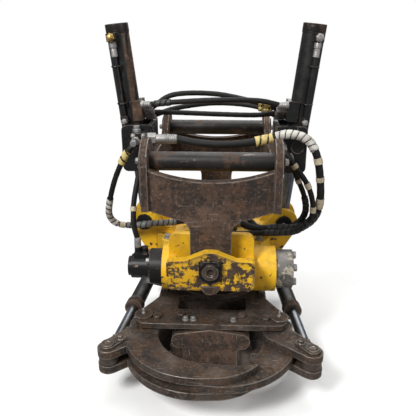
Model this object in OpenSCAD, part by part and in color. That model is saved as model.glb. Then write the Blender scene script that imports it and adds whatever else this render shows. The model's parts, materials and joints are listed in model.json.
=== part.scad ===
// Tilting and rotating excavator head with a gripper.
// Millimetres, +Z up, -Y is the front. The origin lies on the rotation axis,
// on the underside of the lower hitch, where the head stands on the ground.

/* [Upper hitch] */
// Diameter of the two upper hitch pins
hitch_pin_d = 45; // [40:1:50]
// Distance between the hitch pin centres, front to back
hitch_pin_spacing = 430; // [420:2:450]
// Clear width between the hanger side plates
hitch_clear_w = 292; // [280:2:310]
// Thickness of the hanger side plates
side_plate_t = 18; // [12:1:22]
// Height of the upper hitch pins above the tilt axis
hitch_rise = 250; // [240:2:270]
// Thickness of the T-shaped hanger plates
tee_plate_t = 25; // [18:1:25]
// Width of the neck of the T-shaped plates
neck_w = 100; // [90:1:104]

/* [Tilt joint] */
// Diameter of the tilt pins
tilt_pin_d = 40; // [34:1:46]
// Wall of the bronze tilt bushes
tilt_bush_wall = 8; // [5:1:12]
// Width of the yellow tilt plates
tilt_plate_w = 212; // [204:2:224]
// Thickness of the yellow tilt plates
tilt_plate_t = 25; // [18:1:30]

/* [Tilt cylinders] */
// Outer diameter of the tilt cylinder barrels
tilt_barrel_d = 58; // [52:1:62]
// Wall of the tilt cylinder barrels
tilt_barrel_wall = 6; // [4:0.5:8]
// Diameter of the tilt cylinder rods
tilt_rod_d = 30; // [24:1:34]
// Barrel length above the trunnion
tilt_barrel_up = 308; // [280:2:330]
// Barrel length below the trunnion
tilt_barrel_down = 72; // [64:1:80]
// Diameter of the trunnion and ear pins
tilt_cyl_pin_d = 32; // [26:1:36]
// Sideways place of the rod eye pins
ear_x = 197; // [192:1:206]
// Height of the rod eye pins above the tilt axis
ear_rise = 28; // [22:1:34]
// Sideways place of the trunnions
trunnion_x = 221; // [216:1:228]

/* [Rotation drive] */
// Gear module of the worm wheel
gear_module = 8; // [7.5:0.25:8.25]
// Teeth on the worm wheel
wheel_teeth = 36; // [34:1:36]
// Face width of the worm wheel
wheel_w = 40; // [30:1:46]
// Outer diameter of the worm tube
worm_tube_d = 118; // [114:1:120]
// Outer diameter of the steel end cover on the worm tube
worm_cover_d = 100; // [96:1:106]
// Outer diameter of the drive motor
motor_d = 64; // [56:1:72]

/* [Gripper] */
// Thickness of one gripper finger plate
finger_t = 20; // [16:1:24]
// Radius of the round space between the closed claws
grip_r = 135; // [128:1:140]
// Sideways place of the finger pivots
finger_pivot_x = 177; // [172:1:182]
// Diameter of the finger pivot pins
finger_pin_d = 36; // [28:1:40]
// Outer diameter of the gripper cylinder barrels
grip_barrel_d = 45; // [40:1:50]
// Diameter of the gripper cylinder rods
grip_rod_d = 28; // [24:1:30]

/* [Lower hitch] */
// Height of the lower hitch, from the foot to the gripper cassette
lower_hitch_h = 74; // [72:1:90]
// Width over the lower hitch cheeks
lower_hitch_w = 138; // [126:2:150]
// Thickness of the lower hitch cheeks
cheek_t = 19; // [14:1:24]

/* [Hidden] */
$fn = 48;

// Clearances
fit_gap = 0.05;
run_gap = 3;
plate_gap = 1.5;

// Finishes
rust = "#6d4c35";
yellow = "#d8a31c";
black = "#202122";
steel = "#8d8f90";
worn_steel = "#5c5650";
chrome = "#b9bec4";
bronze = "#a07a3a";
rubber = "#181818";

// Heights, from the ground up
bottom_plate_t = 12;
top_plate_t = 15;
finger_layer_gap = 1;
bottom_plate_z = lower_hitch_h;
finger_z = bottom_plate_z + bottom_plate_t + 2;
finger_step = finger_t + finger_layer_gap;
finger_top_z = finger_z + 2 * finger_step + finger_t;
finger_mid_z = finger_z + finger_step + finger_t / 2;
top_plate_z = finger_top_z + 5;
hub_z = top_plate_z + top_plate_t;
housing_z = hub_z + 61;
housing_h = 99;
housing_top_z = housing_z + housing_h;
tilt_z = housing_top_z + 5;
hitch_pin_z = tilt_z + hitch_rise;

// Front to back
pin_y = hitch_pin_spacing / 2;
tee_y = pin_y + 47;
tilt_plate_y = tee_y + run_gap;
hitch_half_w = hitch_clear_w / 2;
side_outer_x = hitch_half_w + side_plate_t;

// Worm drive
wheel_r = gear_module * wheel_teeth / 2;
worm_thread_r = 28;
worm_thread_depth = gear_module;
worm_y = -(wheel_r + worm_thread_r + 2);
worm_z = housing_z + 57;
worm_lead = PI * gear_module;
worm_turns = 5;
worm_len = worm_lead * worm_turns;
worm_journal_r = 17;
worm_bore_r = worm_thread_r + gear_module + 6;
housing_r = wheel_r + 24;
wheel_room_r = wheel_r + 12;
bearing_x = worm_len / 2 + 12;
bearing_w = 15;
tube_left_x = -127;
tube_right_x = 164;
cover_len = 44;
bearing_seat_r = 130;
bearing_ring_w = 30;
hub_journal_r = bearing_seat_r - bearing_ring_w;
hub_step_r = 75;
swivel_r = 38;

// Tilt cylinders
ear_z = tilt_z + ear_rise;
trunnion_z = hitch_pin_z;
rest_reach = norm([trunnion_x - ear_x, trunnion_z - ear_z]);
barrel_lean = atan2(trunnion_x - ear_x, trunnion_z - ear_z);
tilt_bore_r = tilt_barrel_d / 2 - tilt_barrel_wall;
tilt_pin_r = tilt_cyl_pin_d / 2;
port_block_t = 9;
eye_half_w = 26;
ear_plate_t = 18;
ear_plate_r = 40;
eye_r = 27;
bracket_y = tilt_barrel_d / 2 + 11;
bracket_t = 20;
bracket_front_y = -bracket_y - bracket_t;

// Gripper
finger_pivot_y = -229;
grip_centre_y = -260;
claw_outer_y = -252;
claw_outer_r = grip_r + 60;
lug_x = finger_pivot_x + 71;
lug_y = finger_pivot_y - 110;
lug_r = 26;
lug_pin_r = 13;
finger_hub_r = 36;
rear_pin_x = 206;
rear_pin_y = 150;
rear_pin_r = 14;
grip_reach = norm([lug_x - rear_pin_x, lug_y - rear_pin_y]);
grip_angle = atan2(lug_y - rear_pin_y, lug_x - rear_pin_x);
grip_barrel_len = 236;
grip_gland_len = 26;
grip_bore_r = grip_barrel_d / 2 - 5;
cassette_front_y = -265;

// Lower hitch
lower_pin_r = hitch_pin_d / 2 + 0.1;
lower_pin_z = bottom_plate_z - lower_pin_r - 5.4;
hook_front_y = -pin_y - lower_pin_r - 0.4;
nose_t = 30;
cheek_outer_x = lower_hitch_w / 2;
cheek_inner_x = cheek_outer_x - cheek_t;
hook_back_y = -pin_y + 18;
belly_t = 6;
wedge_top_z = lower_pin_z - lower_pin_r - 0.3;

// Hose sizes and hand-laid routes, from one fitting to the other
thin_hose_d = 14;
thick_hose_d = 20;
hose_gap = 0.5;
valve_inner_x = -side_outer_x - 8;
supply_fitting_len = 49;
left_fitting_x = valve_inner_x - 28;
bracket_fitting_len = 21;
bracket_fitting_y = bracket_front_y - bracket_fitting_len - hose_gap;
motor_flange_x = tube_left_x - 34;
motor_port = [motor_flange_x - 33, worm_y, worm_z + motor_d / 2 + 22];
motor_fitting = [-trunnion_x + 31, trunnion_z - 45];
right_fittings = [[trunnion_x - 21, trunnion_z - 25], [trunnion_x - 41, trunnion_z + 5]];
// Depth, height, backward bow, rise and lean of each crossover hose
crossover_rows = [
    [-26, 690, -14, 14, 0.5], [-8, 676, 16, 38, -0.6], [10, 664, 34, -10, 0.7], [28, 652, 60, 26, 0.3]
];
supply_start_x = valve_inner_x + supply_fitting_len + hose_gap;
supply_route = [
    [supply_start_x, -80, 609], [supply_start_x + 24, -80, 609], [-40, -90, 601], [20, -94, 598],
    [80, -90, 601], [140, -84, 612], [190, -90, 626], [236, -100, 616], [262, -108, 580],
    [276, -108, 520], [282, -102, 450], [268, -94, 398], [230, -88, 368], [176, -86, 366],
    [124, -84, 362], [94, -54, 358], [78, -28, 356], [57, -28, 356]
];
left_routes = [
    [[left_fitting_x, -112.5, 608], [left_fitting_x, -128, 608], [-226, -136, 570],
     [-254, -132, 510], [-276, -116, 440], [-280, -104, 400], [-262, -92, 374], [-222, -82, 366],
     [-160, -70, 368], [-110, -40, 360], [-80, -20, 356], [-57, -20, 356]],
    [[motor_fitting.x, bracket_fitting_y, motor_fitting.y], [motor_fitting.x, -98, motor_fitting.y],
     [-196, -126, 508], [-204, -152, 450], [-202, -170, 400],
     motor_port + [0, 0, 22], motor_port + [0, 0, hose_gap]]
];
right_swivel_routes = [
    [[right_fittings[0].x, bracket_fitting_y, right_fittings[0].y],
     [right_fittings[0].x, -98, right_fittings[0].y], [214, -100, 524], [240, -88, 466],
     [250, -80, 420], [240, -70, 384], [208, -66, 362], [164, -62, 357], [124, -56, 357],
     [110, -22, 357], [92, 4, 357], [76, 12, 356], [57, 12, 356]],
    [[right_fittings[1].x, bracket_fitting_y, right_fittings[1].y],
     [right_fittings[1].x, -100, right_fittings[1].y], [204, -118, 556], [244, -122, 500],
     [262, -120, 440], [254, -114, 396], [222, -110, 368], [176, -110, 362], [124, -110, 360],
     [66, -108, 357], [32, -94, 356], [24, -74, 356], [24, -57, 356]]
];

// Points on an arc
function arc(centre, r, from, to, steps) = [
    for (i = [0 : steps])
        let (a = from + (to - from) * i / steps)
        centre + r * [cos(a), sin(a)]
];

// Outline of two circles and their common tangents
function strap(p, rp, q, rq, steps = 14) =
    let (heading = atan2(q.y - p.y, q.x - p.x))
    let (spread = acos((rp - rq) / norm(q - p)))
    concat(
        arc(q, rq, heading - spread, heading + spread, steps),
        arc(p, rp, heading + spread, heading + 360 - spread, steps)
    );

// Outline of a box with round corners
function round_box(x0, y0, x1, y1, r, steps = 6) = concat(
    arc([x1 - r, y1 - r], r, 0, 90, steps),
    arc([x0 + r, y1 - r], r, 90, 180, steps),
    arc([x0 + r, y0 + r], r, 180, 270, steps),
    arc([x1 - r, y0 + r], r, 270, 360, steps)
);

// The other half of an outline, without the points on its middle line
function mirrored(points) = [
    for (i = [len(points) - 1 : -1 : 0])
        if (points[i].x > 0.001) [-points[i].x, points[i].y]
];

module along_x(r, x0, x1, y, z) {
    translate([x0, y, z]) rotate([0, 90, 0]) cylinder(r = r, h = x1 - x0);
}

module along_y(r, y0, y1, x, z) {
    translate([x, y0, z]) rotate([-90, 0, 0]) cylinder(r = r, h = y1 - y0);
}

module along_z(r, z0, z1, x, y) {
    translate([x, y, z0]) cylinder(r = r, h = z1 - z0);
}

// A plate drawn in X and Z, from y0 back
module plate_xz(y0, t) {
    translate([0, y0 + t, 0]) rotate([90, 0, 0]) linear_extrude(t) children();
}

// A plate drawn in Y and Z, from x0 to the right
module plate_yz(x0, t) {
    translate([x0, 0, 0]) rotate([90, 0, 90]) linear_extrude(t) children();
}

// A plate drawn in X and Y, from z0 up
module plate_xy(z0, t) {
    translate([0, 0, z0]) linear_extrude(t) children();
}

module on_side(side) {
    if (side < 0) mirror([1, 0, 0]) children();
    else children();
}

module at_end(end) {
    if (end > 0) mirror([0, 1, 0]) children();
    else children();
}

module hex_head(across, h) {
    cylinder(d = across / cos(30), h = h, $fn = 6);
}

// A hose swept along its points, each ring square to the run
module hose(points, d) {
    sides = 8;
    last = len(points) - 1;
    directions = [
        for (i = [0 : last])
            let (ahead = points[min(i + 1, last)])
            let (behind = points[max(i - 1, 0)])
            (ahead - behind) / norm(ahead - behind)
    ];
    rings = [
        for (i = [0 : last])
            let (across = cross(directions[i], [0.3, 1, 0.2]))
            let (u = across / norm(across))
            let (v = cross(directions[i], u))
            for (k = [0 : sides - 1])
                points[i] + d / 2 * (cos(360 * k / sides) * u + sin(360 * k / sides) * v)
    ];
    walls = [
        for (i = [0 : last - 1])
            for (k = [0 : sides - 1])
                let (n = (k + 1) % sides)
                [i * sides + k, (i + 1) * sides + k, (i + 1) * sides + n, i * sides + n]
    ];
    start_cap = [[for (k = [0 : sides - 1]) k]];
    end_cap = [[for (k = [sides - 1 : -1 : 0]) last * sides + k]];
    polyhedron(rings, concat(walls, start_cap, end_cap));
}

// Hanger

function side_plate_half() = concat(
    arc([tee_y - tee_plate_t - 30, hitch_pin_z - 95], 30, 90, 0, 8),
    [
        [tee_y - tee_plate_t, hitch_pin_z - 110],
        [pin_y + 55, hitch_pin_z - 110]
    ],
    arc([pin_y, hitch_pin_z], 55, 0, 118, 16),
    [[pin_y - 85, hitch_pin_z - 5]]
);

module hanger_side(side) {
    color(rust) on_side(side) difference() {
        plate_yz(hitch_half_w, side_plate_t)
            polygon(concat(side_plate_half(), mirrored(side_plate_half())));
        for (y = [-pin_y, pin_y])
            along_x(hitch_pin_d / 2 + fit_gap, hitch_half_w - 1, side_outer_x + 1, y, hitch_pin_z);
    }
}

module hanger_side_left() { hanger_side(-1); }
module hanger_side_right() { hanger_side(1); }

// The top edge dips between the side plates, the wings fall to a filleted neck
tee_dip = 27;
tee_dip_r = (hitch_half_w * hitch_half_w + tee_dip * tee_dip) / (2 * tee_dip);
tee_fillet_r = 35;
tee_dip_z = hitch_pin_z - 39;
function tee_half() = concat(
    arc([0, tee_dip_z + tee_dip_r], tee_dip_r, 270, 270 + asin(hitch_half_w / tee_dip_r), 8),
    [[hitch_half_w, hitch_pin_z - 110]],
    arc([neck_w / 2 + tee_fillet_r, hitch_pin_z - 130 - tee_fillet_r], tee_fillet_r, 90, 180, 8),
    arc([0, tilt_z], neck_w / 2, 0, -90, 10)
);

module hanger_tee(end) {
    color(rust) at_end(end) difference() {
        plate_xz(-tee_y, tee_plate_t) polygon(concat(tee_half(), mirrored(tee_half())));
        along_y(tilt_bush_r + fit_gap, -tee_y - 1, -tee_y + tee_plate_t + 1, 0, tilt_z);
    }
}

tilt_bush_r = tilt_pin_d / 2 + tilt_bush_wall;
module hanger_front_plate() { hanger_tee(-1); }
module hanger_rear_plate() { hanger_tee(1); }

module hitch_pin(end) {
    head_t = 6;
    color(worn_steel) {
        along_x(hitch_pin_d / 2, -side_outer_x, side_outer_x, end * pin_y, hitch_pin_z);
        for (side = [-1, 1])
            on_side(side)
                along_x(hitch_pin_d / 2 + 7, side_outer_x, side_outer_x + head_t, end * pin_y, hitch_pin_z);
    }
}

module hitch_pin_front() { hitch_pin(-1); }
module hitch_pin_rear() { hitch_pin(1); }

module tilt_bushes() {
    color(bronze) for (end = [-1, 1])
        at_end(end) difference() {
            along_y(tilt_bush_r, -tee_y, -tee_y + tee_plate_t, 0, tilt_z);
            along_y(tilt_pin_d / 2 + fit_gap, -tee_y - 1, -tee_y + tee_plate_t + 1, 0, tilt_z);
        }
}

// A yoke of two plates on a back plate, with the trunnion bores
module trunnion_bracket(side) {
    back_t = 10;
    bottom_z = trunnion_z - 70;
    bracket_h = 125;
    color(black) on_side(side) difference() {
        union() {
            for (y = [bracket_front_y, bracket_y])
                plate_xz(y, bracket_t)
                    polygon(round_box(side_outer_x, bottom_z, trunnion_x + 24, bottom_z + bracket_h, 14));
            translate([side_outer_x, bracket_front_y, bottom_z])
                cube([back_t, -2 * bracket_front_y, bracket_h]);
        }
        along_y(tilt_pin_r + fit_gap, bracket_front_y - 1, -bracket_front_y + 1, trunnion_x, trunnion_z);
    }
}

module trunnion_bracket_left() { trunnion_bracket(-1); }
module trunnion_bracket_right() { trunnion_bracket(1); }

valve_block_depth = 40;
valve_z = hitch_pin_z + 24;
module valve_block() {
    color(black) plate_xz(bracket_front_y - valve_block_depth, valve_block_depth)
        polygon(round_box(valve_inner_x - 42, valve_z - 18, valve_inner_x, valve_z + 18, 4));
}

// Steel hose ends: a hexagon against its seat and a round ferrule
module hose_end(length, r) {
    hex_h = length * 0.45;
    hex_head(r * 2.3, hex_h);
    cylinder(r = r, h = length);
}

module hose_fittings() {
    mid_y = bracket_front_y - valve_block_depth / 2;
    color(steel) {
        translate([valve_inner_x, mid_y, valve_z]) rotate([0, 90, 0]) hose_end(supply_fitting_len, 12);
        translate([valve_inner_x - 28, mid_y, valve_z + 18]) hose_end(16, 8);
        translate([left_fitting_x, bracket_front_y - valve_block_depth, 608]) rotate([90, 0, 0]) hose_end(12, 9);
        for (place = concat(right_fittings, [motor_fitting]))
            translate([place.x, bracket_front_y, place.y]) rotate([90, 0, 0]) hose_end(bracket_fitting_len, 9);
    }
}

module crossover_hoses() {
    half_bow = [[0.58, 0.62, 0.7], [0.88, 0.03, 0.05], [1, 0, 0]];
    bow = concat(mirrored_3d(half_bow), [[0, 1, 1]], half_bow);
    color(rubber) for (row = crossover_rows)
        let (end_x = port_face_x(row.y) - 1.1)
            hose([
                for (p = bow)
                    [p.x * end_x, row.x + row[2] * p.y, row.y + row[3] * p.z * (1 + row[4] * p.x)]
            ], thin_hose_d);
}

// Where the inner face of a leaning barrel's port block stands at a height
function port_face_x(z) =
    trunnion_x + tan(barrel_lean) * (z - trunnion_z) - (tilt_barrel_d / 2 + port_block_t) / cos(barrel_lean);
function mirrored_3d(points) = [for (i = [len(points) - 1 : -1 : 0]) [-points[i].x, points[i].y, points[i].z]];

module supply_hose() {
    color(rubber) hose(supply_route, thick_hose_d);
}

module left_hoses() {
    color(rubber) for (route = left_routes)
        hose(route, thin_hose_d);
}

module right_swivel_hoses() {
    color(rubber) for (route = right_swivel_routes)
        hose(route, thin_hose_d);
}

// Tilting body

tilt_plate_outer_y = -tilt_plate_y - tilt_plate_t;
tilt_plate_bottom_z = tilt_z - 53;
function tilt_plate_half() = [
    [0, tilt_z + 46],
    [14, tilt_z + 45],
    [62, tilt_z + 25],
    [tilt_plate_w / 2 - 6, tilt_z + 23],
    [tilt_plate_w / 2, tilt_z + 18],
    [tilt_plate_w / 2, tilt_plate_bottom_z + 10],
    [tilt_plate_w / 2 - 10, tilt_plate_bottom_z]
];

module tilt_plate(end) {
    color(yellow) at_end(end) difference() {
        plate_xz(tilt_plate_outer_y, tilt_plate_t)
            polygon(concat(tilt_plate_half(), mirrored(tilt_plate_half())));
        along_y(tilt_pin_d / 2 + fit_gap, tilt_plate_outer_y - 1, -tilt_plate_y + 1, 0, tilt_z);
    }
}

module tilt_front_plate() { tilt_plate(-1); }
module tilt_rear_plate() { tilt_plate(1); }

// The walls and floor that tie a tilt plate to the round casting
module housing_arm(end) {
    wall_t = 18;
    arm_len = tilt_plate_y - 100;
    at_end(end) {
        for (side = [-1, 1])
            on_side(side)
                translate([tilt_plate_w / 2 - wall_t, -tilt_plate_y, tilt_plate_bottom_z - 8])
                    cube([wall_t, arm_len, 71]);
        translate([-tilt_plate_w / 2, -tilt_plate_y, tilt_plate_bottom_z - 8])
            cube([tilt_plate_w, arm_len, 11]);
    }
}

// The upright web behind the neck, which closes the arm
module housing_web(end) {
    web_t = 16;
    web_top_z = tilt_z + 70;
    at_end(end) plate_xz(-tee_y + tee_plate_t + 9, web_t)
        polygon(round_box(-tilt_plate_w / 2, tilt_plate_bottom_z, tilt_plate_w / 2, web_top_z, 20));
}

bearing_h = 22;
module gear_housing() {
    color(yellow) difference() {
        union() {
            along_z(housing_r, housing_z, housing_top_z, 0, 0);
            along_x(worm_tube_d / 2, tube_left_x, tube_right_x, worm_y, worm_z);
            for (end = [-1, 1]) {
                housing_arm(end);
                housing_web(end);
            }
        }
        along_z(wheel_room_r, housing_z + 26, housing_top_z - 12, 0, 0);
        along_z(bearing_seat_r, housing_z - 12, housing_z + 27, 0, 0);
        along_z(swivel_r + 4, housing_z, housing_top_z + 1, 0, 0);
        along_x(worm_bore_r, tube_left_x - 1, tube_right_x + 1, worm_y, worm_z);
    }
}

// Two plates that straddle the rod eye, on a foot on top of the casting
ear_plate_y = eye_half_w + plate_gap;
module cylinder_ear(side) {
    foot_x = 118;
    color(yellow) on_side(side) difference() {
        union() {
            for (y = [-ear_plate_y - ear_plate_t, ear_plate_y])
                plate_xz(y, ear_plate_t)
                    polygon(strap([ear_x, ear_z], ear_plate_r, [150, housing_z + 62], 44));
            translate([foot_x, -ear_plate_y - ear_plate_t, housing_top_z])
                cube([38, 2 * (ear_plate_y + ear_plate_t), 14]);
        }
        along_z(housing_r + 0.3, housing_z - 20, housing_top_z, 0, 0);
        along_y(tilt_pin_r + fit_gap, -100, 100, ear_x, ear_z);
    }
}

module cylinder_ear_left() { cylinder_ear(-1); }
module cylinder_ear_right() { cylinder_ear(1); }

module ear_pins() {
    color(black) for (side = [-1, 1])
        on_side(side) for (end = [-1, 1])
            at_end(end) {
                along_y(tilt_pin_r, -ear_plate_y - ear_plate_t, -ear_plate_y, ear_x, ear_z);
                along_y(tilt_pin_r + 7, -ear_plate_y - ear_plate_t - 6, -ear_plate_y - ear_plate_t, ear_x, ear_z);
            }
}

module tilt_pins() {
    head_y = tilt_plate_outer_y - 12;
    color(worn_steel) for (end = [-1, 1])
        at_end(end) difference() {
            along_y(tilt_pin_d / 2, head_y, -tee_y + tee_plate_t - 1, 0, tilt_z);
            along_y(tilt_pin_d / 4, head_y - 1, head_y + 7, 0, tilt_z);
        }
}

retainer_t = 6;
function retainer_half() = concat(
    [[0, tilt_z + 27], [28, tilt_z + 25], [28, tilt_z - 6]],
    arc([2, tilt_z - 6], 26, -15, -80, 5),
    [[0, tilt_z - 39]]
);

module pin_retainers() {
    color(black) for (end = [-1, 1])
        at_end(end) difference() {
            plate_xz(tilt_plate_outer_y - retainer_t, retainer_t)
                polygon(concat(retainer_half(), mirrored(retainer_half())));
            along_y(tilt_pin_d / 2 + 0.1, tilt_plate_outer_y - retainer_t - 1, tilt_plate_outer_y + 1, 0, tilt_z);
        }
}

module grease_plugs() {
    plug_r = 23;
    plug_z = tilt_z - 40;
    color(rust) for (end = [-1, 1])
        at_end(end) intersection() {
            along_y(plug_r, tilt_plate_outer_y - 4, tilt_plate_outer_y, 0, plug_z);
            translate([-plug_r, tilt_plate_outer_y - 5, plug_z - plug_r - 1]) cube([2 * plug_r, 6, plug_r + 1]);
        }
}

module worm_bearings() {
    color(steel) for (side = [-1, 1])
        on_side(side) difference() {
            along_x(worm_bore_r - fit_gap, bearing_x, bearing_x + bearing_w, worm_y, worm_z);
            along_x(worm_journal_r + fit_gap, bearing_x - 1, bearing_x + bearing_w + 1, worm_y, worm_z);
        }
}

cover_bolt_circle_r = worm_cover_d / 2 - 11;
cover_bolt_r = 5;
cover_x = tube_right_x + cover_len;
module at_cover_bolts() {
    for (i = [0 : 5])
        translate([cover_x, worm_y, worm_z]) rotate([30 + 60 * i, 0, 0]) translate([0, cover_bolt_circle_r, 0])
            rotate([0, 90, 0]) children();
}

module worm_cover() {
    color(steel) difference() {
        union() {
            along_x(worm_cover_d / 2, tube_right_x, cover_x, worm_y, worm_z);
            along_x(worm_bore_r - fit_gap, bearing_x + bearing_w, tube_right_x, worm_y, worm_z);
        }
        along_x(worm_journal_r + 3, bearing_x, cover_x - 16, worm_y, worm_z);
        at_cover_bolts() translate([0, 0, -26]) cylinder(r = cover_bolt_r + fit_gap, h = 27);
    }
}

module cover_bolts() {
    color(steel) at_cover_bolts() {
        hex_head(16, 9);
        translate([0, 0, -25]) cylinder(r = cover_bolt_r, h = 25.5);
    }
}

motor_flange_r = motor_d / 2 + 15;
motor_bolt_circle_r = motor_d / 2 + 8.5;
module at_motor_bolts() {
    for (i = [0 : 3])
        translate([motor_flange_x, worm_y, worm_z]) rotate([45 + 90 * i, 0, 0])
            translate([0, motor_bolt_circle_r, 0]) rotate([0, -90, 0]) children();
}

module motor_flange() {
    color(black) difference() {
        union() {
            along_x(motor_flange_r, motor_flange_x, tube_left_x, worm_y, worm_z);
            along_x(worm_bore_r - fit_gap, tube_left_x, -bearing_x - bearing_w, worm_y, worm_z);
        }
        along_x(worm_journal_r + 3, motor_flange_x - 1, -bearing_x, worm_y, worm_z);
        at_motor_bolts() translate([0, 0, -21]) cylinder(r = cover_bolt_r + fit_gap, h = 22);
    }
}

module drive_motor() {
    body_x = motor_flange_x - 58;
    color(black) {
        along_x(motor_d / 2, body_x + 8, motor_flange_x, worm_y, worm_z);
        along_x(motor_d / 2 - 6, body_x, body_x + 8, worm_y, worm_z);
        along_x(worm_journal_r - 5, motor_flange_x, tube_left_x + 5, worm_y, worm_z);
        translate([body_x + 16, worm_y - 17, worm_z]) cube([34, 34, motor_d / 2 + 10]);
        along_z(9, worm_z + motor_d / 2 + 10, worm_z + motor_d / 2 + 22, body_x + 25, worm_y);
        along_z(9, worm_z + motor_d / 2 + 10, worm_z + motor_d / 2 + 22, body_x + 42, worm_y + 3);
    }
}

module motor_bolts() {
    color(steel) at_motor_bolts() {
        hex_head(13, 8);
        translate([0, 0, -20]) cylinder(r = cover_bolt_r, h = 20.5);
    }
}

module slew_bearing() {
    color(steel) difference() {
        along_z(bearing_seat_r - fit_gap, housing_z, housing_z + bearing_h, 0, 0);
        along_z(hub_journal_r + fit_gap, housing_z - 1, housing_z + bearing_h + 1, 0, 0);
    }
}

module slew_seal() {
    color(rubber) difference() {
        along_z(hub_journal_r + 14, housing_z - 6, housing_z, 0, 0);
        along_z(hub_journal_r + 0.4, housing_z - 7, housing_z + 1, 0, 0);
    }
}

// The stem carries oil into the hub, the head carries the hose ports
module hydraulic_swivel() {
    flange_h = 8;
    head_h = 28;
    port_z = housing_top_z + 26;
    color(black) {
        along_z(swivel_r, hub_z + 22, housing_top_z, 0, 0);
        along_z(68, housing_top_z, housing_top_z + flange_h, 0, 0);
        along_z(44, housing_top_z + flange_h, housing_top_z + flange_h + head_h, 0, 0);
        along_x(9, -56.5, -20, -20, port_z);
        along_x(9, 20, 56.5, -28, port_z);
        along_x(9, 20, 56.5, 12, port_z);
        along_y(9, -56.5, -20, 24, port_z);
    }
}

// A round left-hand thread, from an off-centre circle turned along the shaft
module worm_shaft() {
    color(steel) {
        translate([-worm_len / 2, worm_y, worm_z]) rotate([0, 90, 0])
            linear_extrude(worm_len, twist = 360 * worm_turns, slices = 10 * worm_turns)
                rotate(-90 + 180 * worm_turns) translate([worm_thread_depth, 0]) circle(worm_thread_r, $fn = 16);
        along_x(worm_journal_r, -bearing_x - bearing_w - 8, -worm_len / 2 + 1, worm_y, worm_z);
        along_x(worm_journal_r, worm_len / 2 - 1, bearing_x + bearing_w + 4, worm_y, worm_z);
    }
}

// Tilt cylinders, drawn along their own axis from the trunnion

module at_trunnion(side) {
    on_side(side) translate([trunnion_x, 0, trunnion_z]) rotate([0, barrel_lean, 0]) children();
}

module tilt_barrel(side) {
    barrel_r = tilt_barrel_d / 2;
    cap_h = 20;
    gland_h = 24;
    color(black) at_trunnion(side) difference() {
        union() {
            along_z(barrel_r, -tilt_barrel_down, tilt_barrel_up - cap_h - 4, 0, 0);
            along_z(barrel_r - 2, tilt_barrel_up - cap_h - 4, tilt_barrel_up - cap_h, 0, 0);
            along_z(barrel_r + 0.5, tilt_barrel_up - cap_h, tilt_barrel_up, 0, 0);
            along_z(barrel_r + 3, -tilt_barrel_down, -tilt_barrel_down + gland_h, 0, 0);
            along_z(barrel_r + 4, -22, 22, 0, 0);
            along_y(tilt_pin_r, bracket_front_y + 0.5, -bracket_front_y - 0.5, 0, 0);
            translate([-barrel_r - port_block_t, -34, 60]) cube([barrel_r, 68, 52]);
            along_z(6, 64, tilt_barrel_up - 26, 10, -barrel_r - 7);
            translate([-2, -barrel_r - 18, tilt_barrel_up - 42]) cube([24, 22, 20]);
            translate([0, -barrel_r - 16, 61]) cube([20, 18, 15]);
        }
        along_z(tilt_bore_r, -tilt_barrel_down + gland_h - 4, tilt_barrel_up - cap_h, 0, 0);
        along_z(tilt_rod_d / 2 + fit_gap, -tilt_barrel_down - 1, 0, 0, 0);
    }
}

module tilt_barrel_left() { tilt_barrel(-1); }
module tilt_barrel_right() { tilt_barrel(1); }

module tilt_rod(side) {
    piston_z = 350 - rest_reach;
    color(chrome) at_trunnion(side) {
        along_z(tilt_rod_d / 2, -rest_reach, piston_z, 0, 0);
        along_z(tilt_bore_r - fit_gap, piston_z - 24, piston_z, 0, 0);
        along_y(eye_r, -eye_half_w, eye_half_w, 0, -rest_reach);
    }
}

module tilt_rod_left() { tilt_rod(-1); }
module tilt_rod_right() { tilt_rod(1); }

// Rotor

module worm_wheel() {
    root_r = wheel_r - gear_module;
    tip_r = wheel_r + 0.75 * gear_module;
    root_half = 2.0;
    tip_half = 0.8;
    color(bronze) difference() {
        plate_xy(worm_z - wheel_w / 2, wheel_w) polygon([
            for (i = [0 : wheel_teeth - 1])
                let (a = -90 + 360 * i / wheel_teeth)
                for (corner = [[root_r, -root_half], [tip_r, -tip_half], [tip_r, tip_half], [root_r, root_half]])
                    corner.x * [cos(a + corner.y), sin(a + corner.y)]
        ]);
        along_z(swivel_r + 8, worm_z - wheel_w, worm_z + wheel_w, 0, 0);
    }
}

module rotor_hub() {
    flange_r = 140;
    flange_h = 16;
    color(worn_steel) difference() {
        union() {
            along_z(flange_r, hub_z, hub_z + flange_h, 0, 0);
            along_z(hub_journal_r, hub_z, housing_z + bearing_h + 2, 0, 0);
            along_z(hub_step_r, hub_z, worm_z - wheel_w / 2, 0, 0);
        }
        along_z(swivel_r + fit_gap, hub_z + 16, worm_z, 0, 0);
    }
}

cassette_ear_r = 34;
function cassette_half() = concat(
    arc([finger_pivot_x - 10, cassette_front_y + 30], 30, -90, 0, 6),
    [
        [finger_pivot_x + 20, finger_pivot_y + 12],
        [150, -130],
        [150, rear_pin_y - 58]
    ],
    arc([rear_pin_x, rear_pin_y], cassette_ear_r, -70, 130, 10),
    [[146, rear_pin_y + 40]]
);

module cassette_outline() {
    polygon(concat(cassette_half(), mirrored(cassette_half())));
}

module cassette_pin_bores() {
    for (side = [-1, 1])
        on_side(side) {
            along_z(finger_pin_d / 2 + fit_gap, 0, hub_z + 1, finger_pivot_x, finger_pivot_y);
            along_z(rear_pin_r + fit_gap, 0, hub_z + 1, rear_pin_x, rear_pin_y);
        }
}

module cassette_top_plate() {
    color(worn_steel) difference() {
        plate_xy(top_plate_z, top_plate_t) cassette_outline();
        plate_xy(top_plate_z - 1, top_plate_t + 2) polygon(round_box(-92, -192, 92, -122, 10));
        cassette_pin_bores();
    }
}

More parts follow.
